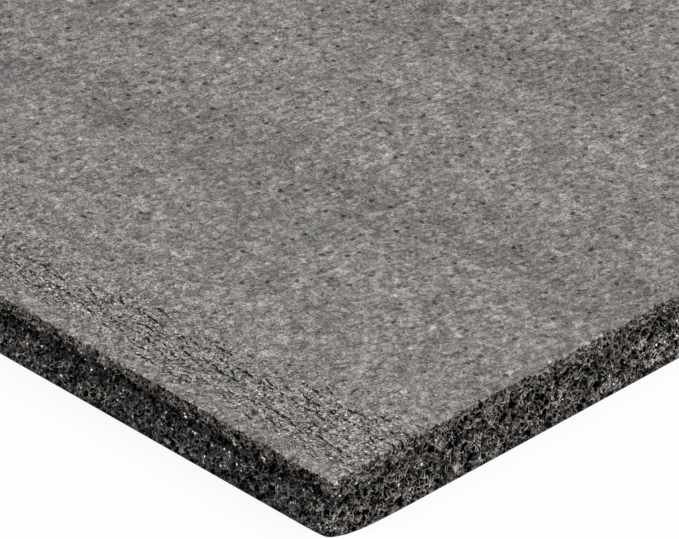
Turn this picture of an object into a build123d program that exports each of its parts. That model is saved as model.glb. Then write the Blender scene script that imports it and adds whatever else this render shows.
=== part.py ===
from build123d import *
import itertools
import math
import os
import random

# Cut size of the sheet, in millimetres. X is the direction it was extruded in,
# Z goes up through its thickness, and the origin is the centre of the underside.
side = 304.8
thickness = 12.7
half = side / 2

# Corrugation of the skin: shallow valleys that run along X. The first lies straight
# beside the -Y face, and the others wander from side to side together.
valley_pitch = 58.8
valley_width = 17.0
valley_depth = 0.45
first_valley = 9.5
valley_wander = 7.0
wander_length = 258.0
skin_stations = 7
skin_step = 6.0
overhang = 6.0

# Cut faces: soft foam gives way under the blade, so each face comes out hollow
# at half height, and the two faces across X stand out at the foot
face_hollow = 0.35
foot_flare = 1.4

# Edges of the two skins, drawn over by the cut. The roll starts a little above
# the crest of the skin, so that it meets the skin in a faint line.
skin_roll = 0.9
roll_clearance = 0.06
foot_roll = 0.3

# The +X -Y corner, where the blade ran out of line and took some of the foot away
lost_on_x_face = 12.0
lost_on_y_face = 3.6

# The larger of the cells that the cut opened, left as wells of about half a cell
cells_per_face = 38
cell_sizes = (2.0, 2.5, 3.1)
cell_rows = 3
cell_zone = (2.6, 9.8)
cell_margin = 7.0
cell_sink = 0.2
cell_seed = 4


def valley_line(number, x):
    """Place in Y of one valley, at one place along X."""
    wander = valley_wander if number else 0
    sway = wander * math.cos(2 * math.pi * (half - x) / wander_length)
    return -half + first_valley + valley_pitch * number + sway


def skin_height(x, y):
    """Height of the corrugated skin above the underside."""
    count = math.ceil(side / valley_pitch)
    nearest = min(abs(y - valley_line(number, x)) for number in range(count))
    return thickness - valley_depth * math.exp(-((2 * nearest / valley_width) ** 2))


def skin_section(x):
    """Section across the oversize slab, with the corrugated skin on top."""
    reach = half + overhang
    steps = math.ceil(2 * reach / skin_step)
    places = [-reach + 2 * reach * step / steps for step in range(steps + 1)]
    skin = Spline(*[(y, skin_height(x, y)) for y in places])
    walls = Polyline(skin @ 1, (reach, -overhang), (-reach, -overhang), skin @ 0)
    return Plane(origin=(x, 0, 0), x_dir=(0, 1, 0), z_dir=(1, 0, 0)) * make_face(skin + walls)


def corrugated_slab():
    """The slab with its skin on, oversize but for the height of the skin."""
    reach = half + overhang
    stations = [-reach + 2 * reach * step / (skin_stations - 1) for step in range(skin_stations)]
    return loft([skin_section(x) for x in stations])


def pair_of_cuts(plane, flare):
    """What two opposite cuts keep: hollow faces, a rolled skin edge, a standing foot."""
    top = thickness + roll_clearance
    brow = half - flare
    outline = Line((-half + foot_roll, 0), (half - foot_roll, 0))
    outline += Line((-brow + skin_roll, top), (brow - skin_roll, top))
    for hand in (1, -1):
        shoulder = (hand * brow, top - skin_roll)
        ankle = (hand * half, foot_roll)
        waist = (hand * ((brow + half) / 2 - face_hollow), (shoulder[1] + foot_roll) / 2)
        outline += JernArc((hand * (brow - skin_roll), top), (hand, 0), skin_roll, -90 * hand)
        outline += ThreePointArc(shoulder, waist, ankle)
        outline += JernArc((hand * (half - foot_roll), 0), (hand, 0), foot_roll, 90 * hand)
    return extrude(plane * make_face(outline), side, both=True)


def lost_foot():
    """Wedge missing under one corner: a part of an ellipse at the foot, a point at the skin."""
    centre = (half - lost_on_y_face, -half + lost_on_x_face)
    edge = EllipticalCenterArc(centre, lost_on_y_face, lost_on_x_face, start_angle=270, arc_size=90)
    far = (half + lost_on_y_face, -half - lost_on_y_face)
    surround = Polyline(edge @ 1, (far[0], centre[1]), far, (centre[0], far[1]), edge @ 0)
    tip = Vertex(half - foot_flare, -half, thickness)
    return loft([make_face(edge + surround), tip])


def foam_cell(size):
    """Foam cell as bubbles pack it: a rhombic dodecahedron, size across its flats."""
    cell = Box(2 * size, 2 * size, 2 * size)
    axes = (Vector(1, 0, 0), Vector(0, 1, 0), Vector(0, 0, 1))
    for first, second in itertools.combinations(axes, 2):
        for hand, side_hand in itertools.product((1, -1), repeat=2):
            out = (first * hand + second * side_hand).normalized()
            flat = Plane(origin=out * size / 2, z_dir=out)
            cell = split(cell, flat, keep=Keep.BOTTOM)
    return cell


def opened_cells():
    """Wells along the four cut faces, each a cell turned its own way."""
    chance = random.Random(cell_seed)
    shapes = [foam_cell(size) for size in cell_sizes]
    run = (side - 2 * cell_margin) / cells_per_face
    rise = (cell_zone[1] - cell_zone[0]) / cell_rows
    wells = []
    for quarter, number in itertools.product(range(4), range(cells_per_face)):
        row = 2 * number % cell_rows
        along = -half + cell_margin + run * (number + chance.uniform(0.25, 0.75))
        height = cell_zone[0] + rise * (row + chance.uniform(0.2, 0.8))
        turn = Rotation(*[chance.uniform(0, 90) for axis in range(3)])
        place = Rotation(0, 0, 90 * quarter) * Pos(half - cell_sink, along, height)
        wells.append(place * turn * chance.choice(shapes))
    return wells


foam_sheet = corrugated_slab() & pair_of_cuts(Plane.XZ, foot_flare)
foam_sheet = foam_sheet & pair_of_cuts(Plane.YZ, 0)
foam_sheet = foam_sheet - lost_foot()
foam_sheet = foam_sheet - opened_cells()

os.makedirs("parts", exist_ok=True)
export_step(foam_sheet, "parts/foam_sheet.step")
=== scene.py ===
import math

import bmesh
import bpy
import numpy as np
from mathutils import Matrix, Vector
from mathutils.geometry import delaunay_2d_cdt


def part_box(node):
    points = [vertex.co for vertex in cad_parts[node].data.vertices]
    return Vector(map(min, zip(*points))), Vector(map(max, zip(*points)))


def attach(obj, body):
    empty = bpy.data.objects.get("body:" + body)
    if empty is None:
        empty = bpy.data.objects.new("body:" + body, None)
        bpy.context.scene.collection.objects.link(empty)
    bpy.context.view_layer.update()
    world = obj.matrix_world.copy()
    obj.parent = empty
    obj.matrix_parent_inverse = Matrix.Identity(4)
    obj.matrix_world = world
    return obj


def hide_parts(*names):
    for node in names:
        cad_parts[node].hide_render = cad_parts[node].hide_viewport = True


mm = 0.001

# What to change on the foam sheet. Lengths are in millimetres, heights go up from the foot.
foam = {
    "seed": 11,
    "cornerRadius": 0.9,
    "faceHollow": 0.35,         # how far a cut face draws in at half height
    "footFlare": 1.4,           # how far the two faces across X stand out at the foot
    "lipDepth": 0.3,            # how far the close cells under the skin stand out over the open ones
    "lipHeight": 9.4,
    "lipSoft": 0.9,
    "lipSway": (26, 0.7),       # waves round the sheet in the height of the lip, and their reach
    "lipSwell": (17, 0.4),      # the same for its depth, as a share
    "lipTaper": 0.6,            # below this share of the thickness it runs out
    "skinRoll": 0.9,
    "skinEdge": 0.5,            # how far down the rolled skin reaches over the cut
    "footEdge": 0.12,
    "valleyPitch": 58.8,
    "valleyWidth": 16.0,
    "valleyDepth": 0.45,
    "firstValley": 9.5,
    "valleyWander": 9.0,
    "wanderLength": 258.0,
    "skinWaves": (9, 60),       # lengths of the skin's gentle waves
    "skinWaveDepth": 0.1,
    "skinWaveCount": 26,
    "crazedLine": (8.5, 13.0),    # the cracked strip beside the -Y face, at its end and at the corner
    "crazedWidth": (6.0, 12.0),   # half its width
    "crazedFade": 45.0,
    "cornerAtFoot": (2.7, 0.4),   # how far the worn corner lies inside the +X and -Y faces
    "cornerAtSkin": (-1.0, 0.0),
    "cornerReach": (9.0, 3.7),
    "cellRows": (0.8, 1.2, 1.6, 1.8, 1.8, 1.6, 1.2, 0.85, 0.7, 0.65),   # foot to skin
    "cellAspect": 1.1,          # width along the edge over height
    "cellJitter": 0.42,
    "lostWalls": 0.08,          # share of cells that ran into a neighbour
    "cellDepth": (0.4, 1.2),    # share of a cell's width
    "coveredDepth": 0.12,
    "pitDepth": 0.8,            # how deep a plain pit is beside a well
    "middleShift": 0.25,        # how far off a well's middle its films meet
    "coveredCells": 0.2,        # share of cells still closed by a film
    "bowedWall": 0.85,          # walls longer than this are curved
    "bow": 0.16,
    "wallLean": 0.74,
    "wellLeans": (0.85, 1.1),   # spread of the lean from well to well, and from wall to wall
    "wallLeans": (0.85, 1.12),
    "wallDepths": (0.7, 1.3),   # spread of the depth at the foot of the walls, and at the middle
    "middleDepths": (0.5, 1.6),
    "rimRag": 0.2,              # how far the wells' rims stray in and out, and the skin's edge up and down
    "rimRagSpread": (-1, 1.6),
    "edgeRag": 0.2,
    "plainCell": 1.3,           # cells smaller than this are plain pits
    "filmTones": (0.5, 1.3),    # spread of the films' tones, from void to bright
    "litWellMiddles": 0.35,         # share of wells whose middle, where their films meet, is painted light as a painted highlight
    "rimShine": (0.9, 1.1),
    "edgeReach": 2.0,           # how far in the skin is smoothed by the cut
    "skinRings": (0.25, 0.5, 0.95, 1.8),   # how far in the rings of points beside the edge lie
    "ringStep": 1.4,
    "skinStep": 3.2,            # between the points of the skin, and of the underside
    "footRings": (0.3,),
    "footStep": 14.0,
    "unevenGrid": 0.3,          # how far loose points stray, as a share of their step
}


def outlineAt(run):
    # Points and outward normals along the outline, from the -X -Y corner, counterclockwise.
    radius, straight = foam["cornerRadius"], foam["side"] - 2 * foam["cornerRadius"]
    quarter = straight + radius * math.pi / 2
    turn, rest = np.divmod(np.asarray(run) % (4 * quarter), quarter)
    bend = np.clip(rest - straight, 0, None) / radius
    reach = foam["side"] / 2 - radius
    x = np.clip(rest, 0, straight) - reach + radius * np.sin(bend)
    y = -reach - radius * np.cos(bend)
    normal = np.stack([np.sin(bend), -np.cos(bend)], -1)
    turn = turn * math.pi / 2
    return turned(x, y, turn), turned(normal[..., 0], normal[..., 1], turn)


def turned(x, y, angle):
    cos, sin = np.cos(angle), np.sin(angle)
    return np.stack([x * cos - y * sin, x * sin + y * cos], -1)


def outlineLength():
    radius = foam["cornerRadius"]
    return 4 * (foam["side"] - 2 * radius) + 2 * math.pi * radius


def cutPoint(run, height, inward, facing):
    # A place on the cut faces, with their hollow, flare and worn corner, or straight behind the place
    # that the outline has at facing.
    point, normal = outlineAt(run)
    rise = height / foam["thick"]
    push = foam["faceHollow"] * 4 * rise * (1 - rise) + foam["footFlare"] * rise * normal[:, 0] ** 2
    around = run / outlineLength() * 2 * math.pi
    swayWaves, sway = foam["lipSway"]
    swellWaves, swell = foam["lipSwell"]
    under = (foam["lipHeight"] + sway * np.sin(swayWaves * around) - height) / foam["lipSoft"]
    lip = foam["lipDepth"] * (1 + swell * np.sin(swellWaves * around)) / (1 + np.exp(-4 * under))
    push += lip * np.clip(rise / foam["lipTaper"], 0, 1)
    x, y = (point - normal * push[:, None] - outlineAt(facing)[1] * inward[:, None]).T
    half = foam["side"] / 2
    alongY, alongX = foam["cornerReach"]
    worn = np.clip(1 - (half - x) / alongY, 0, 1) ** 2 * np.exp(-np.clip(y + half, 0, None) / alongX)
    shift = [low + (high - low) * rise for low, high in zip(foam["cornerAtFoot"], foam["cornerAtSkin"])]
    return np.stack([x - shift[0] * worn, y + shift[1] * worn, height], -1)


def valleyShape(x, y):
    # 1 on a valley's line, falling to 0 on the lands between.
    half = foam["side"] / 2
    wander = foam["valleyWander"] * np.cos(2 * math.pi * (half - x) / foam["wanderLength"])
    first = y + half - foam["firstValley"]
    number = np.maximum(np.round((first - wander) / foam["valleyPitch"]), 1)
    away = np.minimum(np.abs(first), np.abs(first - wander - number * foam["valleyPitch"]))
    return np.exp(-((2 * away / foam["valleyWidth"]) ** 2))


def softWaves(x, y, dice):
    # Gentle unevenness of a skin that cooled freely, between about -1 and 1.
    total = np.zeros_like(x)
    count = foam["skinWaveCount"]
    for wave in range(count):
        length = dice.uniform(*foam["skinWaves"])
        angle = dice.uniform(0, math.pi)
        phase = dice.uniform(0, 2 * math.pi)
        total += np.sin((x * math.cos(angle) + y * math.sin(angle)) * 2 * math.pi / length + phase)
    return total / math.sqrt(count) / 1.4


def skinHeight(x, y, dice):
    waves = foam["skinWaveDepth"] * softWaves(x, y, dice) - foam["skinWaveDepth"]
    return foam["thick"] - foam["valleyDepth"] * valleyShape(x, y) + waves


def cellSeeds(dice):
    # Middles of the cells in the cut faces as (run, height, real), with a spare row past each skin.
    rows = [foam["cellRows"][0]] + list(foam["cellRows"]) + [foam["cellRows"][-1]]
    scale = (foam["thick"] - foam["skinEdge"] - foam["footEdge"]) / sum(foam["cellRows"])
    length, height = outlineLength(), foam["footEdge"] - rows[0] * scale
    seeds = []
    for level, row in enumerate(rows):
        row *= scale
        count = round(length / (row * foam["cellAspect"]))
        run = np.arange(count) + dice.uniform(-1, 1, count) * foam["cellJitter"] + level % 2 / 2
        run *= length / count
        real = 0 < level < len(rows) - 1
        tilt = dice.uniform(-1, 1, count) * foam["cellJitter"] * row * (1 if real else 0.4)
        keep = dice.random(count) > (foam["lostWalls"] if real else 0)
        seeds.append(np.stack([run % length, height + row / 2 + tilt, np.full(count, real)], -1)[keep])
        height += row
    return np.concatenate(seeds)


def cellWeb(seeds):
    # The web of cell walls where the cut opened it: places of its joints, and the ring of joints round
    # each cell. The band of cells is laid out as a flat ring, so that its two ends meet.
    length = outlineLength()
    angle = seeds[:, 0] / length * 2 * math.pi
    flat = np.stack([np.cos(angle), np.sin(angle)], -1) * (length / 2 / math.pi + seeds[:, 1])[:, None]
    found = delaunay_2d_cdt([Vector(point) for point in flat.tolist()], [], [], 0, 1e-6)
    source = np.array([index[0] for index in found[3]])
    triangles = source[np.array(found[2])]
    real = seeds[:, 2] > 0.5
    triangles = triangles[real[triangles].any(1)]
    middle = flat[triangles].mean(1)
    run = np.arctan2(middle[:, 1], middle[:, 0]) / 2 / math.pi * length % length
    height = np.hypot(middle[:, 0], middle[:, 1]) - length / 2 / math.pi
    rings = [[] for seed in seeds]
    for index, corners in enumerate(triangles):
        for corner in corners:
            if real[corner]:
                rings[corner].append(index)
    cells = []
    for seed, ring in enumerate(rings):
        if len(ring) > 2:
            away = middle[ring] - flat[seed]
            cells.append([ring[place] for place in np.argsort(np.arctan2(away[:, 1], away[:, 0]))])
    return np.stack([run, height], -1), cells


def bowWalls(run, height, cells, dice):
    # Longer walls between the cells get a joint midway, pushed aside, so that they curve.
    length = outlineLength()
    midway, extraRun, extraHeight, bowed = {}, [], [], []
    for ring in cells:
        wavy = []
        for start, end in zip(ring, ring[1:] + ring[:1]):
            wavy.append(start)
            pair = min(start, end), max(start, end)
            if pair not in midway:
                along = (run[pair[1]] - run[pair[0]] + length / 2) % length - length / 2
                up = height[pair[1]] - height[pair[0]]
                midway[pair] = None
                if math.hypot(along, up) > foam["bowedWall"]:
                    push = dice.uniform(-1, 1) * foam["bow"]
                    midway[pair] = len(run) + len(extraRun)
                    extraRun.append((run[pair[0]] + along / 2 - up * push) % length)
                    extraHeight.append(height[pair[0]] + up / 2 + along * push)
            if midway[pair] is not None:
                wavy.append(midway[pair])
        bowed.append(wavy)
    return np.append(run, extraRun), np.append(height, extraHeight), bowed


def edgeLoops(cells):
    # The two chains of joints where the web ends, at the foot and at the skin, each in order.
    used = {}
    for ring in cells:
        for start, end in zip(ring, ring[1:] + ring[:1]):
            used[min(start, end), max(start, end)] = used.get((min(start, end), max(start, end)), 0) + 1
    nextTo = {}
    for (start, end), count in used.items():
        if count == 1:
            nextTo.setdefault(start, []).append(end)
            nextTo.setdefault(end, []).append(start)
    loops = []
    while nextTo:
        loop = [next(iter(nextTo))]
        while nextTo.get(loop[-1]):
            step = nextTo.pop(loop[-1])
            onward = [joint for joint in step if joint in nextTo]
            if not onward:
                break
            loop.append(onward[0])
        loops.append(loop)
    return loops


def keepRising(run, loop, gap=0.04):
    # Makes the runs rise all along a loop, where two joints would step back past each other.
    along = np.unwrap(run[loop], period=outlineLength())
    if along[-1] < along[0]:
        loop = loop[::-1]
        along = along[::-1]
    for place in range(1, len(loop)):
        along[place] = max(along[place], along[place - 1] + gap)
    run[loop] = along % outlineLength()


def coverFace(points, faces, loop, extra, level):
    # Closes a skin with triangles, which join the other faces, between its edge loop and loose points
    # inside it at their level.
    flat = [Vector(point) for point in np.concatenate([points[loop, :2], extra]).tolist()]
    found = delaunay_2d_cdt(flat, [], [list(range(len(loop)))], 1, 1e-6)
    source = np.array([index[0] for index in found[3]])
    corners = np.concatenate([loop, np.arange(len(points), len(points) + len(extra))])
    faces += [tuple(corners[list(face)]) for face in source[np.array(found[2])]]
    return np.concatenate([points, np.column_stack([extra, level])])


def skinPoints(dice, step, rings):
    # Loose points inside a skin, rings along its edge and then an uneven grid, with how far in they are.
    points, inset = [], []
    length = outlineLength()
    stray = foam["unevenGrid"]
    for inward in rings:
        count = round(length / foam["ringStep"])
        run = (np.arange(count) + dice.uniform(-stray, stray, count)) * length / count
        place = cutPoint(run, np.full(count, foam["thick"]), np.full(count, inward), run)
        points.append(place[:, :2])
        inset.append(np.full(count, inward))
    reach = foam["side"] / 2 - foam["footFlare"] - max(rings) - step * 0.6
    count = round(2 * reach / step)
    line = np.linspace(-reach, reach, count)
    x, y = np.meshgrid(line, line)
    loose = stray * step * np.pad(dice.uniform(-1, 1, (2, count - 2, count - 2)), ((0, 0), (1, 1), (1, 1)))
    points.append(np.stack([(x + loose[0]).ravel(), (y + loose[1]).ravel()], -1))
    inset.append(np.full(count * count, reach))
    return np.concatenate(points), np.concatenate(inset)


def rollDrop(inward):
    roll = foam["skinRoll"]
    return roll - np.sqrt(roll ** 2 - np.clip(roll - inward, 0, roll) ** 2)


def layWeb(dice):
    # The web on the cut faces: its joints, the ring of joints round each cell, and its two edges.
    joints, cells = cellWeb(cellSeeds(dice))
    run, height, cells = bowWalls(*joints.T, cells, dice)
    atFoot, atSkin = sorted(edgeLoops(cells), key=lambda loop: height[loop].mean())
    keepRising(run, atFoot)
    keepRising(run, atSkin)
    height[atFoot] = foam["footEdge"]
    height[atSkin] = foam["thick"] - foam["skinEdge"] + dice.normal(0, foam["edgeRag"], len(atSkin))
    inward = dice.uniform(*foam["rimRagSpread"], len(run)) * foam["rimRag"]
    inward[atFoot + atSkin] = 0.0
    print("cells in the cut faces:", len(cells), "joints:", len(run))
    return run, height, inward, cells, atFoot, atSkin


def openWells(run, height, inward, cells, dice):
    # Each opened cell becomes a well: walls that lean in from its ring, and films across its floor.
    length, total = outlineLength(), len(run)
    runs, heights, inwards, facings, rims = [run], [height], [inward], [run], [np.ones(total)]
    faces, tones = [], []
    for ring in cells:
        around = (run[ring] - run[ring[0]] + length / 2) % length - length / 2 + run[ring[0]]
        level = height[ring]
        centre = np.array([around.mean(), level.mean()])
        size = math.sqrt(np.ptp(around) * np.ptp(level))
        covered = dice.random() < foam["coveredCells"]
        depth = size * (foam["coveredDepth"] if covered else dice.uniform(*foam["cellDepth"]))
        middle = centre + dice.uniform(-1, 1, 2) * foam["middleShift"] * size
        after, filmsBefore = ring[1:] + ring[:1], len(faces)
        if size < foam["plainCell"]:
            added = [middle]
            inwards.append([depth * foam["pitDepth"]])
            faces += [(start, end, total) for start, end in zip(ring, after)]
        else:
            lean = dice.uniform(*foam["wellLeans"]) * dice.uniform(*foam["wallLeans"], len(ring))
            lean *= foam["wallLean"]
            added = list(centre + (np.stack([around, level], -1) - centre) * lean[:, None]) + [middle]
            depths = dice.uniform(*foam["wallDepths"], len(ring)), dice.uniform(*foam["middleDepths"])
            inwards.append(depth * np.append(*depths))
            inner = list(range(total, total + len(ring)))
            for start, end, low, lowEnd in zip(ring, after, inner, inner[1:] + inner[:1]):
                faces += [(start, end, lowEnd, low), (low, lowEnd, total + len(ring))]
        tones.append(dice.beta(*foam["filmTones"], len(faces) - filmsBefore))
        runs.append([place[0] for place in added])
        heights.append([place[1] for place in added])
        facings.append([centre[0]] * len(added))
        # rim values: 1 on the joints and on some middles, which the cut finish paints light as painted
        # highlights
        rims.append([0] * (len(added) - 1) + [float(dice.random() < foam["litWellMiddles"])])
        total += len(added)
    return [np.concatenate(parts) for parts in (runs, heights, inwards, facings, rims, tones)] + [faces]


def addPatterns(mesh, points, facing, rims, tones, dice):
    # What the materials read from the mesh: how the cut and the crazing lie, and each film's tone.
    skinPad = np.zeros(len(points) - len(rims))
    x, y = points[:, 0], points[:, 1]
    half = foam["side"] / 2
    near = np.exp(-(half - x) / foam["crazedFade"])
    line, reach = (far + (close - far) * near for far, close in (foam["crazedLine"], foam["crazedWidth"]))
    edge = half - np.maximum(np.abs(x), np.abs(y))
    addValues(mesh, "rim", "POINT", np.append(rims, skinPad))
    addValues(mesh, "shine", "POINT", np.append(dice.beta(*foam["rimShine"], len(rims)), skinPad))
    addValues(mesh, "edge", "POINT", np.exp(-((edge / foam["edgeReach"]) ** 2)))
    addValues(mesh, "valley", "POINT", valleyShape(x, y))
    addValues(mesh, "crazed", "POINT", np.exp(-(((y + half - line) / reach) ** 2)))
    addValues(mesh, "acrossX", "POINT", np.append(outlineAt(facing)[1][:, 0] ** 2, skinPad))
    addValues(mesh, "tone", "FACE", np.append(tones, np.ones(len(mesh.polygons) - len(tones))))
    slots = np.zeros(len(mesh.polygons), np.int32)
    slots[:len(tones)] = 1
    mesh.attributes.new("material_index", "INT", "FACE").data.foreach_set("value", slots)


def makeFoam():
    dice = np.random.default_rng(foam["seed"])
    low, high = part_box("foam_sheet")
    foam["side"], foam["thick"] = (high.x - low.x) / mm, (high.z - low.z) / mm

    run, height, inward, cells, atFoot, atSkin = layWeb(dice)
    run, height, inward, facing, rims, tones, faces = openWells(run, height, inward, cells, dice)
    points = cutPoint(run, height, inward, facing)
    extra, inset = skinPoints(dice, foam["skinStep"], foam["skinRings"])
    level = skinHeight(extra[:, 0], extra[:, 1], dice) - rollDrop(inset)
    points = coverFace(points, faces, atSkin, extra, level)
    extra, inset = skinPoints(dice, foam["footStep"], foam["footRings"])
    points = coverFace(points, faces, atFoot, extra, np.zeros(len(extra)))

    mesh = bpy.data.meshes.new("foamSheet")
    mesh.from_pydata((points * mm).tolist(), [], [[int(corner) for corner in face] for face in faces])
    addPatterns(mesh, points, facing, rims, tones, dice)
    shell = bmesh.new()
    shell.from_mesh(mesh)
    bmesh.ops.recalc_face_normals(shell, faces=shell.faces)
    openEdges = sum(1 for edge in shell.edges if len(edge.link_faces) != 2)
    shell.to_mesh(mesh)
    shell.free()
    mesh.validate()
    addBakeMap(mesh, np.append(run, np.zeros(len(points) - len(run))))
    mesh.calc_loop_triangles()
    print("foam mesh:", len(points), "points,", len(mesh.loop_triangles), "triangles, open edges:", openEdges)
    piece = bpy.data.objects.new("foamSheet", mesh)
    bpy.context.scene.collection.objects.link(piece)
    return piece


def addBakeMap(mesh, run):
    # The whole piece laid flat in millimetres on one square, for baking: the skin, a small underside,
    # and each cut face as a strip above them.
    square = foam["side"] * 1.25
    quarter = outlineLength() / 4
    corners = readAll(mesh.loops, "vertex_index", np.int32)
    first = readAll(mesh.polygons, "loop_start", np.int32)
    face = np.repeat(np.arange(len(first)), readAll(mesh.polygons, "loop_total", np.int32))
    cut = readAll(mesh.polygons, "material_index", np.int32) == 1
    place = readAll(mesh.vertices, "co", np.float32, 3)[corners] / mm
    under = (~cut & (place[first, 2] < foam["thick"] / 2))[face]
    flat = place[:, :2] + foam["side"] / 2 + 1
    flat[under] = flat[under] * 0.2 + [foam["side"] + 4, 0]
    strip = np.clip(run[corners[first]] // quarter, 0, 3)[face]
    along = (run[corners] - (strip - 2) * quarter) % (4 * quarter) - 2 * quarter
    laid = np.stack([along + 3, place[:, 2] + strip * foam["thick"] * 1.1], -1) * 1.2 + [0, foam["side"] + 4]
    flat = np.where(cut[face][:, None], laid, flat) / square
    mesh.uv_layers.new(name="OFBake").data.foreach_set("uv", flat.astype(np.float32).ravel())
    print("bake map spans", flat.min(0).round(3), flat.max(0).round(3))


def readAll(items, name, kind, width=1):
    values = np.empty(len(items) * width, kind)
    items.foreach_get(name, values)
    return values.reshape(-1, width) if width > 1 else values


def addValues(mesh, name, domain, values):
    mesh.attributes.new(name, "FLOAT", domain).data.foreach_set("value", values.astype(np.float32))


def node(material, kind, inputs, **settings):
    # A shader node with its settings, and with values or other nodes' outputs for its inputs.
    made = material.node_tree.nodes.new("ShaderNode" + kind)
    for name, value in settings.items():
        setattr(made, name, value)
    for name, value in inputs.items():
        if isinstance(value, bpy.types.NodeSocket):
            material.node_tree.links.new(value, made.inputs[name])
        else:
            made.inputs[name].default_value = value
    return made


def calc(material, operation, first, second=0.0):
    return node(material, "Math", {0: first, 1: second}, operation=operation).outputs[0]


def add(material, first, second):
    return calc(material, "ADD", first, second)


def times(material, first, second):
    return calc(material, "MULTIPLY", first, second)


def larger(material, first, second):
    return calc(material, "MAXIMUM", first, second)


def fade(material, value, low, high, start=0.0, end=1.0):
    # Start where the value is low, end where it is high, and smooth between.
    inputs = {"Value": value, "From Min": low, "From Max": high, "To Min": start, "To Max": end}
    return node(material, "MapRange", inputs, interpolation_type="SMOOTHSTEP").outputs["Result"]


def between(material, share, pair):
    # The first of a pair where the share is 0, and the second where it is 1.
    return fade(material, share, 0.0, 1.0, *pair)


def contour(material, pattern, level, thin, thick):
    # A line where the pattern passes a level.
    off = calc(material, "ABSOLUTE", calc(material, "SUBTRACT", pattern, level))
    return fade(material, off, thin, thick, 1.0, 0.0)


def painted(material, colour, share, paint):
    inputs = {0: share, 6: colour, 7: (*paint, 1)}
    return node(material, "Mix", inputs, data_type="RGBA", blend_type="MIX").outputs[2]


def dimmed(material, colour, share, tone):
    # The colour times a tone, which is a number from the nodes or a colour.
    if isinstance(tone, bpy.types.NodeSocket):
        tone = node(material, "CombineColor", {0: tone, 1: tone, 2: tone}).outputs[0]
    inputs = {0: share, 6: colour, 7: tone}
    return node(material, "Mix", inputs, data_type="RGBA", blend_type="MULTIPLY").outputs[2]


def millimetres(material, turn=0.0):
    # Places on the piece in millimetres, turned about Z for a pattern that has a grain.
    place = node(material, "TexCoord", {}).outputs["Object"]
    inputs = {"Vector": place, "Rotation": (0, 0, math.radians(turn)), "Scale": (1 / mm,) * 3}
    return node(material, "Mapping", inputs).outputs["Vector"]


def noise(material, place, size, detail=2.0, rough=0.5):
    inputs = {"Vector": place, "Scale": 1 / size, "Detail": detail, "Roughness": rough}
    return node(material, "TexNoise", inputs).outputs["Fac"]


def meshValue(material, name):
    return node(material, "Attribute", {}, attribute_name=name).outputs["Fac"]


def newMaterial(name):
    material = bpy.data.materials.new(name)
    material.use_nodes = True
    return material, material.node_tree.nodes["Principled BSDF"]


def warped(material, place, size, reach):
    # Places bent to and fro, so that a pattern on them isn't regular.
    bend = node(material, "TexNoise", {"Vector": place, "Scale": 1 / size, "Detail": 1.0}).outputs["Color"]
    bend = node(material, "VectorMath", {0: bend, 1: (0.5,) * 3}, operation="SUBTRACT").outputs[0]
    bend = node(material, "VectorMath", {0: bend, 1: (reach,) * 3}, operation="MULTIPLY").outputs[0]
    return node(material, "VectorMath", {0: place, 1: bend}, operation="ADD").outputs[0]


def scattered(material, place, spacing, size, share, across="3D"):
    # Small spots: some of the middles of an uneven pattern of cells.
    cells = node(material, "TexVoronoi", {"Vector": place, "Scale": 1 / spacing}, voronoi_dimensions=across)
    spot = fade(material, cells.outputs["Distance"], size / spacing * 0.5, size / spacing, 1.0, 0.0)
    chosen = node(material, "SeparateColor", {"Color": cells.outputs["Color"]}).outputs["Red"]
    return times(material, spot, calc(material, "LESS_THAN", chosen, share))


def addBump(material, shader, height, relief):
    bump = node(material, "Bump", {"Height": height, "Strength": 1.0, "Distance": relief * mm})
    material.node_tree.links.new(bump.outputs["Normal"], shader.inputs["Normal"])


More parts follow.
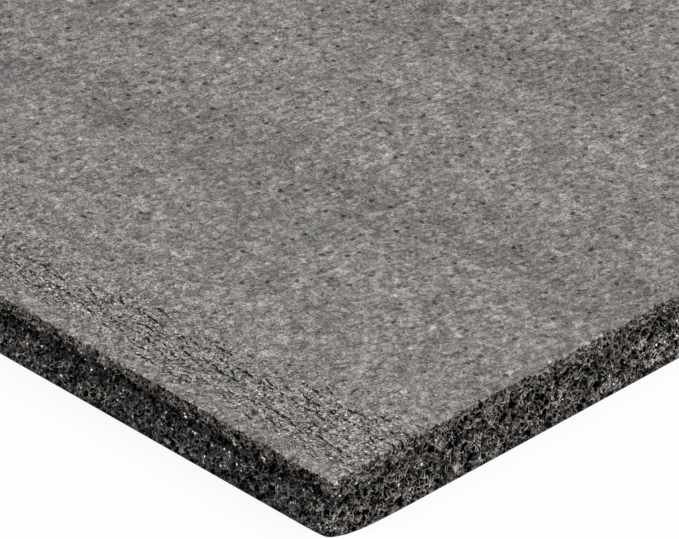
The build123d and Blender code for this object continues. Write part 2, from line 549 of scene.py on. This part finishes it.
# What to change on the skin's finish. Sizes are in millimetres. Of the pairs that end in Plain or
# Crazed, the first value holds on the plain skin, and the second in the cracked strip.
skinFinish = {
    "warm": (0.3085, 0.286, 0.27),
    "plain": (0.2685, 0.2555, 0.2385),
    "cool": (0.166, 0.165, 0.1665),
    # near-black of the marks: real cracks, pits and wrinkles, partly painted shade in their recesses
    "dark": (0.005, 0.005, 0.005),
    # colour of the painted highlights: bright specks, light hair lines of folds, light sides of curled edges
    "highlight": (0.94, 0.89, 0.85),
    "bend": (1.4, 0.8),         # size and reach of the bends that make the patterns uneven
    "patch": 12.0,              # patches of warm and plain colour
    "coolPatch": 5.0,
    "coolShare": 0.7,
    "coolCrazed": 0.3,
    "lump": 2.5,
    # lumps painted darker where low and lighter where high: painted shade and light that follow their bump
    "lumpShadeTones": (0.72, 1.28),
    "speckle": 1.2,
    "speckleTones": (0.79, 1.22),
    "grain": 0.95,
    "fine": 0.38,
    "finePlainCrazed": (0.65, 1.3),
    "tonePlainCrazed": (1.12, 1.2),
    "creaseShadePlainCrazed": (0.35, 0.45),
    # valleys painted darker: painted shade
    "valleyShade": 0.84,
    "calmEdge": 0.95,           # the unevenness that is left beside the cut
    "crack": {"turn": 1, "spacing": 2.4, "width": 0.26, "length": 7.0, "share": 0.21, "sway": 2.2},
    "split": {"turn": 12, "spacing": 1.8, "width": 0.2, "length": 3.4, "share": 0.17, "sway": 2.0},
    "wrinkle": {"turn": -78, "spacing": 1.6, "width": 0.22, "length": 2.2, "share": 0.12, "sway": 2.2},
    "lineBend": 4.5,            # size of the bends in those lines, and size and reach of their wobble
    "lineWobble": (1.3, 0.42),
    "pits": (3.6, 0.6, 0.26),   # spots: their spacing, their size and the share of them that show
    "dimples": (2.2, 0.75, 0.35),
    "pores": (1.5, 0.36, 0.22),
    # bright specks, painted as painted highlights
    "lights": (1.3, 0.3, 0.14),
    "domes": (2.9, 1.1, 0.3),
    "domeBend": (2.5, 1.2),
    # how much lighter the domes are painted: painted sheen on their raised tops
    "domeShine": 0.4,
    "pitsDark": 0.85,           # how dark these marks are, up to 1, partly painted shade in their hollows
    "dimplesDark": 0.36,
    "poresDark": 0.55,
    "wrinkleDark": 0.45,
    "fold": 0.85,               # hair lines where the film is folded
    "foldLine": (0.02, 0.06),
    "foldHighlightPlainCrazed": (0.1, 0.45),
    "foldDarkPlainCrazed": (0.18, 0.45),
    "highlightsPlainCrazed": (0.3, 1.0),
    "curl": 1.7,                # curled edges of burst bubbles
    "burstPatch": 1 / 0.55,
    "burstPlainCrazed": (0.4, 1.0),
    "curlShine": 0.5,
    "crazedPatch": 9.0,         # how the crazing comes and goes along its strip
    "crazedUneven": 0.35,
    "roughReach": 48.0,         # how far in from the -Y face the film is folded more, and how much
    "roughShare": 0.45,
    "relief": 0.6,
    "fineRelief": 0.35,
    "grainRelief": 0.45,
    "lumpRelief": 1.6,
    "domeRelief": 0.5,
    "markRelief": 0.7,
}


def bentLines(material, turn, spacing, width, length, share, sway, where=1.0):
    # Broken lines along X, turned about Z, that wander and split: 1 on the line and 0 past its width.
    # They get short and rare as where falls to 0.
    place = millimetres(material, turn)
    bent = warped(material, place, skinFinish["lineBend"], sway)
    bent = warped(material, bent, *skinFinish["lineWobble"])
    across = node(material, "SeparateXYZ", {0: bent}).outputs["Y"]
    off = calc(material, "PINGPONG", across, spacing / 2)
    lines = fade(material, off, width * 0.75, width, 1.0, 0.0)
    stretch = (1 / length, 1 / spacing, 1)
    stretched = node(material, "VectorMath", {0: bent, 1: stretch}, operation="MULTIPLY").outputs[0]
    kept = add(material, noise(material, stretched, 1 / 0.8, 1), between(material, where, (-0.4, 0.0)))
    return times(material, lines, fade(material, kept, 0.62 - share, 0.68 - share))


def crazing(material, place):
    # 1 in the cracked strip, and a wider and weaker share of it beside the -Y face.
    uneven = noise(material, place, skinFinish["crazedPatch"], 2, 0.6)
    uneven = fade(material, uneven, 0.3, 0.7, -skinFinish["crazedUneven"], skinFinish["crazedUneven"])
    strip = meshValue(material, "crazed")
    crazed = fade(material, add(material, strip, times(material, strip, uneven)), 0.02, 0.95)
    inward = add(material, node(material, "SeparateXYZ", {0: place}).outputs["Y"], foam["side"] / 2)
    reach = skinFinish["roughReach"]
    rough = fade(material, inward, reach / 4, reach, skinFinish["roughShare"], 0.0)
    return crazed, larger(material, crazed, rough)


def skinColour(material, place, tone, crazed):
    # Warm, plain and cool patches, made lighter and darker by the tone.
    patch = fade(material, noise(material, place, skinFinish["patch"], 3, 0.55), 0.44, 0.6)
    inputs = {0: patch, 6: (*skinFinish["warm"], 1), 7: (*skinFinish["plain"], 1)}
    colour = node(material, "Mix", inputs, data_type="RGBA").outputs[2]
    cool = fade(material, noise(material, place, skinFinish["coolPatch"], 2, 0.6), 0.53, 0.66)
    cool = larger(material, times(material, cool, skinFinish["coolShare"]),
                  times(material, crazed, skinFinish["coolCrazed"]))
    return dimmed(material, painted(material, colour, cool, skinFinish["cool"]), 1.0, tone)


def makeSkinFinish():
    material, shader = newMaterial("foamSkin")
    place = millimetres(material)
    bent = warped(material, place, *skinFinish["bend"])
    lump = noise(material, bent, skinFinish["lump"], 2, 0.55)
    speckle = noise(material, bent, skinFinish["speckle"], 2, 0.6)
    fine = noise(material, place, skinFinish["fine"], 1)
    crazed, rough = crazing(material, place)
    calm = fade(material, meshValue(material, "edge"), 0.2, 1.0, 1.0, skinFinish["calmEdge"])

    # painted shade in the creases between the grains, which comes and goes
    grainPlace = {"Vector": bent, "Scale": 1 / skinFinish["grain"]}
    grain = node(material, "TexVoronoi", grainPlace, feature="SMOOTH_F1").outputs["Distance"]
    creaseShade = node(material, "TexVoronoi", grainPlace, feature="DISTANCE_TO_EDGE").outputs["Distance"]
    creaseShade = times(material, fade(material, creaseShade, 0.02, 0.22, 1.0, 0.0),
                   fade(material, speckle, 0.38, 0.6, 1.0, 0.2))
    creaseShade = times(material, creaseShade, between(material, crazed, skinFinish["creaseShadePlainCrazed"]))

    # fine folds of the film: light hair lines, which are painted highlights, beside dark ones
    folds = noise(material, bent, skinFinish["fold"], 1)
    foldHighlight = times(material, contour(material, folds, 0.56, *skinFinish["foldLine"]),
                      between(material, rough, skinFinish["foldHighlightPlainCrazed"]))
    foldDark = times(material, contour(material, folds, 0.46, *skinFinish["foldLine"]),
                     between(material, rough, skinFinish["foldDarkPlainCrazed"]))

    # curled edges of burst bubbles: a dark line, and a light one on its inner side, which is a painted
    # highlight
    curl = noise(material, bent, skinFinish["curl"], 1)
    burst = fade(material, noise(material, place, skinFinish["burstPatch"]), 0.44, 0.56)
    burst = times(material, burst, fade(material, rough, 0.0, 0.8, *skinFinish["burstPlainCrazed"]))
    curlDark = times(material, contour(material, curl, 0.52, 0.008, 0.026), burst)
    curlHighlight = times(material, contour(material, curl, 0.56, 0.006, 0.024), burst)

    # cracks along X in the strip beside the -Y face, and wrinkles, pits and domes all over
    cracks = [bentLines(material, **skinFinish[name], where=crazed) for name in ("crack", "split")]
    marks = larger(material, *cracks)
    for name in ("pits", "dimples", "pores"):
        spots = scattered(material, bent, *skinFinish[name], "2D")
        marks = larger(material, marks, times(material, spots, skinFinish[name + "Dark"]))
    wrinkles = times(material, bentLines(material, **skinFinish["wrinkle"]), skinFinish["wrinkleDark"])
    for dark in (wrinkles, curlDark, foldDark):
        marks = larger(material, marks, dark)
    domes = warped(material, place, *skinFinish["domeBend"])
    domes = scattered(material, domes, *skinFinish["domes"], "2D")
    # painted highlights: bright specks, the light side of curled edges and the light hair lines of folds
    lights = times(material, scattered(material, bent, *skinFinish["lights"], "2D"),
                   between(material, rough, skinFinish["highlightsPlainCrazed"]))
    lights = larger(material, lights, times(material, curlHighlight, skinFinish["curlShine"]))
    lights = larger(material, lights, foldHighlight)

    # the tone of each lump and speckle, with the fine grain and the creases in it
    # lumps and the fine grain are painted darker where low and lighter where high: painted shade and light
    # that follow the bump
    finer = times(material, fade(material, fine, 0.3, 0.7, -0.5, 0.5),
                  between(material, rough, skinFinish["finePlainCrazed"]))
    finer = add(material, finer, between(material, crazed, skinFinish["tonePlainCrazed"]))
    finer = larger(material, calc(material, "SUBTRACT", finer, creaseShade), 0.05)
    tone = times(material, fade(material, lump, 0.33, 0.67, *skinFinish["lumpShadeTones"]),
                 fade(material, speckle, 0.34, 0.66, *skinFinish["speckleTones"]))
    tone = calc(material, "SUBTRACT", times(material, tone, finer), 1.0)
    tone = add(material, times(material, tone, calm), 1.0)
    # the valleys painted darker: painted shade
    valley = between(material, meshValue(material, "valley"), (1.0, skinFinish["valleyShade"]))
    tone = times(material, tone, valley)
    colour = skinColour(material, place, tone, crazed)
    # the domes painted lighter: painted sheen on their raised tops
    domeSheen = add(material, times(material, domes, skinFinish["domeShine"]), 1.0)
    colour = dimmed(material, colour, 1.0, domeSheen)
    # the marks painted near-black: real cracks, pits and wrinkles, partly painted shade in their recesses
    colour = painted(material, colour, marks, skinFinish["dark"])
    # the painted highlights laid on in their light colour
    colour = painted(material, colour, lights, skinFinish["highlight"])
    material.node_tree.links.new(colour, shader.inputs["Base Color"])

    height = times(material, fine, skinFinish["fineRelief"])
    for pattern, depth in ((grain, -skinFinish["grainRelief"]), (lump, skinFinish["lumpRelief"]),
                           (domes, skinFinish["domeRelief"]), (marks, -skinFinish["markRelief"])):
        height = add(material, height, times(material, pattern, depth))
    addBump(material, shader, times(material, height, calm), skinFinish["relief"])
    material.node_tree.links.new(fade(material, speckle, 0.3, 0.7, 0.4, 0.6), shader.inputs["Roughness"])
    shader.inputs["Specular IOR Level"].default_value = 0.05
    return material


# What to change on the cut faces' finish. Heights and sizes are in millimetres. Of the pairs that end
# in Faces, the first value holds on the two faces along X, and the second on the two across it.
cutFinish = {
    # near-black in the voids between and behind the films: painted shade
    "voidShade": (0.0008, 0.0008, 0.0009),
    "film": (0.268, 0.243, 0.227),
    # light of film edges and rims: painted highlight
    "edgeHighlight": (0.75, 0.705, 0.665),
    # white of the glints: painted highlight
    "glintHighlight": (1.0, 0.995, 0.98),
    "brown": (0.8, 0.745, 0.7),
    "brownFrom": (8.5, 11.0),
    "bend": (1.1, 0.9),
    "flake": (1.6, 0.85),       # length and width
    "lean": 30,                 # degrees
    "flakeTones": (0.0, 0.65),
    "flakeEdge": (0.06, 0.12),  # as a share of a flake
    "flakeEdgeFaces": (0.65, 0.9),
    "filmTones": (0.3, 1.5),
    "crisp": 0.33,
    "crispTones": (0.5, 1.5),
    "tear": 1.6,
    "tearShade": 0.9,
    "lipShine": 0.9,
    "brokenPatch": 1 / 1.3,
    "footShade": (0.3, 1.8),
    "footTone": 0.5,
    # painted shade over the whole face, darker on the faces along X than across it
    "sideShadeFaces": (0.8, 0.95),
    "shadeFrom": (3.8, 7.2),    # the open cells under the close ones lie in their shade
    "shadeTo": (8.8, 9.8),
    "shadeFaces": (0.55, 0.14),
    "glintSpots": (0.64, 0.31),
    "glintFaces": (0.46, 0.2),
    "glintPatch": 1 / 0.45,
    "glintsFrom": (0.8, 1.6),
    "glintsTo": (8.6, 9.6),
    "grain": 1 / 2.4,
    "tearRelief": 2.0,
    "relief": 0.2,
}


def tornFlakes(material, bent):
    # Films torn by the knife: flakes that lean along the face. Gives their tones and their edges.
    lean = math.radians(cutFinish["lean"])
    run, rise = math.cos(lean), math.sin(lean)
    ways = ((run, run, rise), (-rise, -rise, run))
    place = []
    for way, size in zip(ways, cutFinish["flake"]):
        inputs = {0: bent, 1: [part / size for part in way]}
        place.append(node(material, "VectorMath", inputs, operation="DOT_PRODUCT").outputs["Value"])
    place = node(material, "CombineXYZ", {"X": place[0], "Y": place[1]}).outputs[0]
    inputs = {"Vector": place, "Scale": 1.0}
    flakes = node(material, "TexVoronoi", inputs, feature="F1", voronoi_dimensions="2D").outputs["Color"]
    edges = node(material, "TexVoronoi", inputs, feature="DISTANCE_TO_EDGE", voronoi_dimensions="2D")
    flakes = node(material, "SeparateColor", {"Color": flakes}).outputs
    edges = fade(material, edges.outputs["Distance"], *cutFinish["flakeEdge"], 1.0, 0.0)
    edges = times(material, edges, fade(material, flakes["Green"], 0.3, 0.9))
    return fade(material, flakes["Red"], 0.2, 0.85, *cutFinish["flakeTones"]), edges


def makeCutFinish():
    material, shader = newMaterial("foamCut")
    place = millimetres(material)
    bent = warped(material, place, *cutFinish["bend"])
    level = node(material, "SeparateXYZ", {0: place}).outputs["Z"]
    acrossX = meshValue(material, "acrossX")
    flakes, flakeEdges = tornFlakes(material, bent)

    # torn films: each ends in a thin light edge, a painted highlight, with a void behind it painted
    # near-black as painted shade
    tear = noise(material, bent, cutFinish["tear"], 1, 0.6)
    torn = fade(material, tear, 0.45, 0.47, 1.0, 0.0)
    lip = times(material, fade(material, tear, 0.45, 0.47), fade(material, tear, 0.475, 0.51, 1.0, 0.0))
    broken = fade(material, noise(material, place, cutFinish["brokenPatch"], 1), 0.38, 0.55)
    lip = times(material, lip, broken)
    # the wells' rims painted light: painted highlights, stronger where the shine value is high
    rim = times(material, fade(material, meshValue(material, "rim"), 0.74, 0.95),
                times(material, fade(material, meshValue(material, "shine"), 0.2, 0.9), broken))
    film = times(material, between(material, meshValue(material, "tone"), cutFinish["filmTones"]), flakes)
    whole = calc(material, "SUBTRACT", 1.0, times(material, torn, cutFinish["tearShade"]))
    film = times(material, film, whole)
    crisp = noise(material, place, cutFinish["crisp"], 1)
    film = times(material, film, fade(material, crisp, 0.35, 0.65, *cutFinish["crispTones"]))
    # flake edges, torn lips and rims painted light in the edge colour: painted highlights
    edges = times(material, flakeEdges, between(material, acrossX, cutFinish["flakeEdgeFaces"]))
    edgeHighlights = larger(material, larger(material, edges, times(material, lip, cutFinish["lipShine"])), rim)
    # films over the near-black of the voids, whose dark is painted shade
    colour = painted(material, (*cutFinish["voidShade"], 1), film, cutFinish["film"])
    colour = painted(material, colour, edgeHighlights, cutFinish["edgeHighlight"])
    brown = fade(material, level, *cutFinish["brownFrom"])
    colour = dimmed(material, colour, brown, (*cutFinish["brown"], 1))

    # painted shade under the close cells, at the foot, and over the whole of each face
    shade = times(material, fade(material, level, *cutFinish["shadeFrom"]),
                  fade(material, level, *cutFinish["shadeTo"], 1.0, 0.0))
    shade = times(material, shade, between(material, acrossX, cutFinish["shadeFaces"]))
    shade = calc(material, "SUBTRACT", between(material, acrossX, cutFinish["sideShadeFaces"]), shade)
    shade = times(material, shade, fade(material, level, *cutFinish["footShade"], cutFinish["footTone"], 1.0))
    colour = dimmed(material, colour, 1.0, shade)

    # glints on bits of film that lie like small mirrors: painted white highlights in the colour, and metallic
    # so that they reflect too
    share = between(material, acrossX, cutFinish["glintFaces"])
    gathered = fade(material, noise(material, place, cutFinish["glintPatch"], 1), 0.42, 0.55)
    gathered = times(material, gathered, fade(material, level, *cutFinish["glintsFrom"]))
    gathered = times(material, gathered, fade(material, level, *cutFinish["glintsTo"], 1.0, 0.3))
    glints = times(material, scattered(material, place, *cutFinish["glintSpots"], share), gathered)
    colour = painted(material, colour, glints, cutFinish["glintHighlight"])
    material.node_tree.links.new(colour, shader.inputs["Base Color"])
    material.node_tree.links.new(glints, shader.inputs["Metallic"])
    shader.inputs["Roughness"].default_value = 0.2
    shader.inputs["Specular IOR Level"].default_value = 0.04
    height = add(material, noise(material, place, cutFinish["grain"], 2, 0.6), edges)
    height = add(material, height, times(material, tear, cutFinish["tearRelief"]))
    addBump(material, shader, height, cutFinish["relief"])
    return material


# What to change on the studio. Each lamp stands turned from +X and lifted in degrees, with its size
# in metres and its power in watts.
studio = {
    "fill": 0.33,
    "floorSize": 8,             # metres
    "floorColour": (0.92, 0.92, 0.92),
    "floorRoughness": 0.9,
    "floorGlow": 0.9,
    "floorFade": (300, 2400),   # the floor turns white from here to here, in millimetres from the middle
    "lampDistance": 2.5,
    "key": (20, 50, 1.6, 40),
    "rim": (-105, 42, 0.2, 18),
}


def seen(material):
    # 1 for what the camera sees straight, in gloss or through glass, and 0 for light that bounces.
    paths = node(material, "LightPath", {}).outputs
    return calc(material, "MAXIMUM", paths["Is Camera Ray"],
                calc(material, "MAXIMUM", paths["Is Glossy Ray"], paths["Is Transmission Ray"]))


def addFloor():
    bpy.ops.mesh.primitive_plane_add(size=studio["floorSize"], location=(0, 0, 0))
    floor = bpy.context.active_object
    floor.name = "floor"
    material, shader = newMaterial("floor")
    shader.inputs["Base Color"].default_value = (*studio["floorColour"], 1)
    shader.inputs["Roughness"].default_value = studio["floorRoughness"]
    glow = node(material, "Emission", {"Color": (1, 1, 1, 1), "Strength": 1.0}).outputs[0]
    away = node(material, "VectorMath", {0: millimetres(material)}, operation="LENGTH").outputs["Value"]
    share = fade(material, away, *studio["floorFade"], studio["floorGlow"], 1.0)
    share = times(material, seen(material), share)
    shown = node(material, "MixShader", {0: share, 1: shader.outputs[0], 2: glow}).outputs[0]
    material.node_tree.links.new(shown, material.node_tree.nodes["Material Output"].inputs["Surface"])
    floor.data.materials.append(material)


def addWorld():
    world = bpy.data.worlds.new("studio")
    bpy.context.scene.world = world
    world.use_nodes = True
    fill = world.node_tree.nodes["Background"]
    fill.inputs["Color"].default_value = (1, 1, 1, 1)
    fill.inputs["Strength"].default_value = studio["fill"]
    backdrop = node(world, "Background", {"Color": (1, 1, 1, 1), "Strength": 1.0}).outputs[0]
    shown = node(world, "MixShader", {0: seen(world), 1: fill.outputs[0], 2: backdrop}).outputs[0]
    world.node_tree.links.new(shown, world.node_tree.nodes["World Output"].inputs["Surface"])


def addLamps():
    # a broad key lamp, and a small one that picks out glints in the -Y face
    for name in ("key", "rim"):
        turn, lift, size, power = studio[name]
        turn, lift = math.radians(turn), math.radians(lift)
        lamp = bpy.data.lights.new(name, "AREA")
        lamp.size, lamp.energy = size, power
        holder = bpy.data.objects.new(name, lamp)
        away = Vector((math.cos(turn) * math.cos(lift), math.sin(turn) * math.cos(lift), math.sin(lift)))
        holder.location = away * studio["lampDistance"]
        holder.rotation_euler = away.to_track_quat("Z", "Y").to_euler()
        bpy.context.scene.collection.objects.link(holder)


# Where the camera stands: turned from -Y towards +X, and lifted, in degrees, with its distance in
# metres from its target, which is in millimetres, and the focal length on a sensor of that width.
view = {
    "azimuth": 45.6,
    "elevation": 32.06,
    "distance": 1.65,
    "target": (103.4, -103.7, 12.7),
    "sensor": 36,
    "lens": 36 * 9.29 / 0.679,
}


def addCamera():
    camera = bpy.data.objects.new("camera", bpy.data.cameras.new("camera"))
    bpy.context.scene.collection.objects.link(camera)
    bpy.context.scene.camera = camera
    azimuth, elevation = math.radians(view["azimuth"]), math.radians(view["elevation"])
    back = Vector((math.sin(azimuth) * math.cos(elevation), -math.cos(azimuth) * math.cos(elevation),
                   math.sin(elevation)))
    camera.location = Vector(view["target"]) * mm + back * view["distance"]
    camera.rotation_euler = (-back).to_track_quat("-Z", "Y").to_euler()
    camera.data.sensor_width, camera.data.lens = view["sensor"], view["lens"]
    camera.data.clip_start, camera.data.clip_end = 0.05, 50


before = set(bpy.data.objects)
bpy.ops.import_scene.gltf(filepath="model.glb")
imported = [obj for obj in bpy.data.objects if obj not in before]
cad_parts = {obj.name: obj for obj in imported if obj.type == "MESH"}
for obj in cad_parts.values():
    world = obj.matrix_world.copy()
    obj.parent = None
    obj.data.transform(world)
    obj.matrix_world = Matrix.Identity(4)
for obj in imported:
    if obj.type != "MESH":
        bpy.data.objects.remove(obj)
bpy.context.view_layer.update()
bpy.ops.object.select_all(action="DESELECT")
sheet = makeFoam()
sheet.data.materials.append(makeSkinFinish())
sheet.data.materials.append(makeCutFinish())
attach(sheet, "root")
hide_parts("foam_sheet")
print("foam sheet finished")
addFloor()
addWorld()
addLamps()
addCamera()
print("floor, lamps and camera in place")
bpy.context.scene.view_settings.view_transform = "Standard"
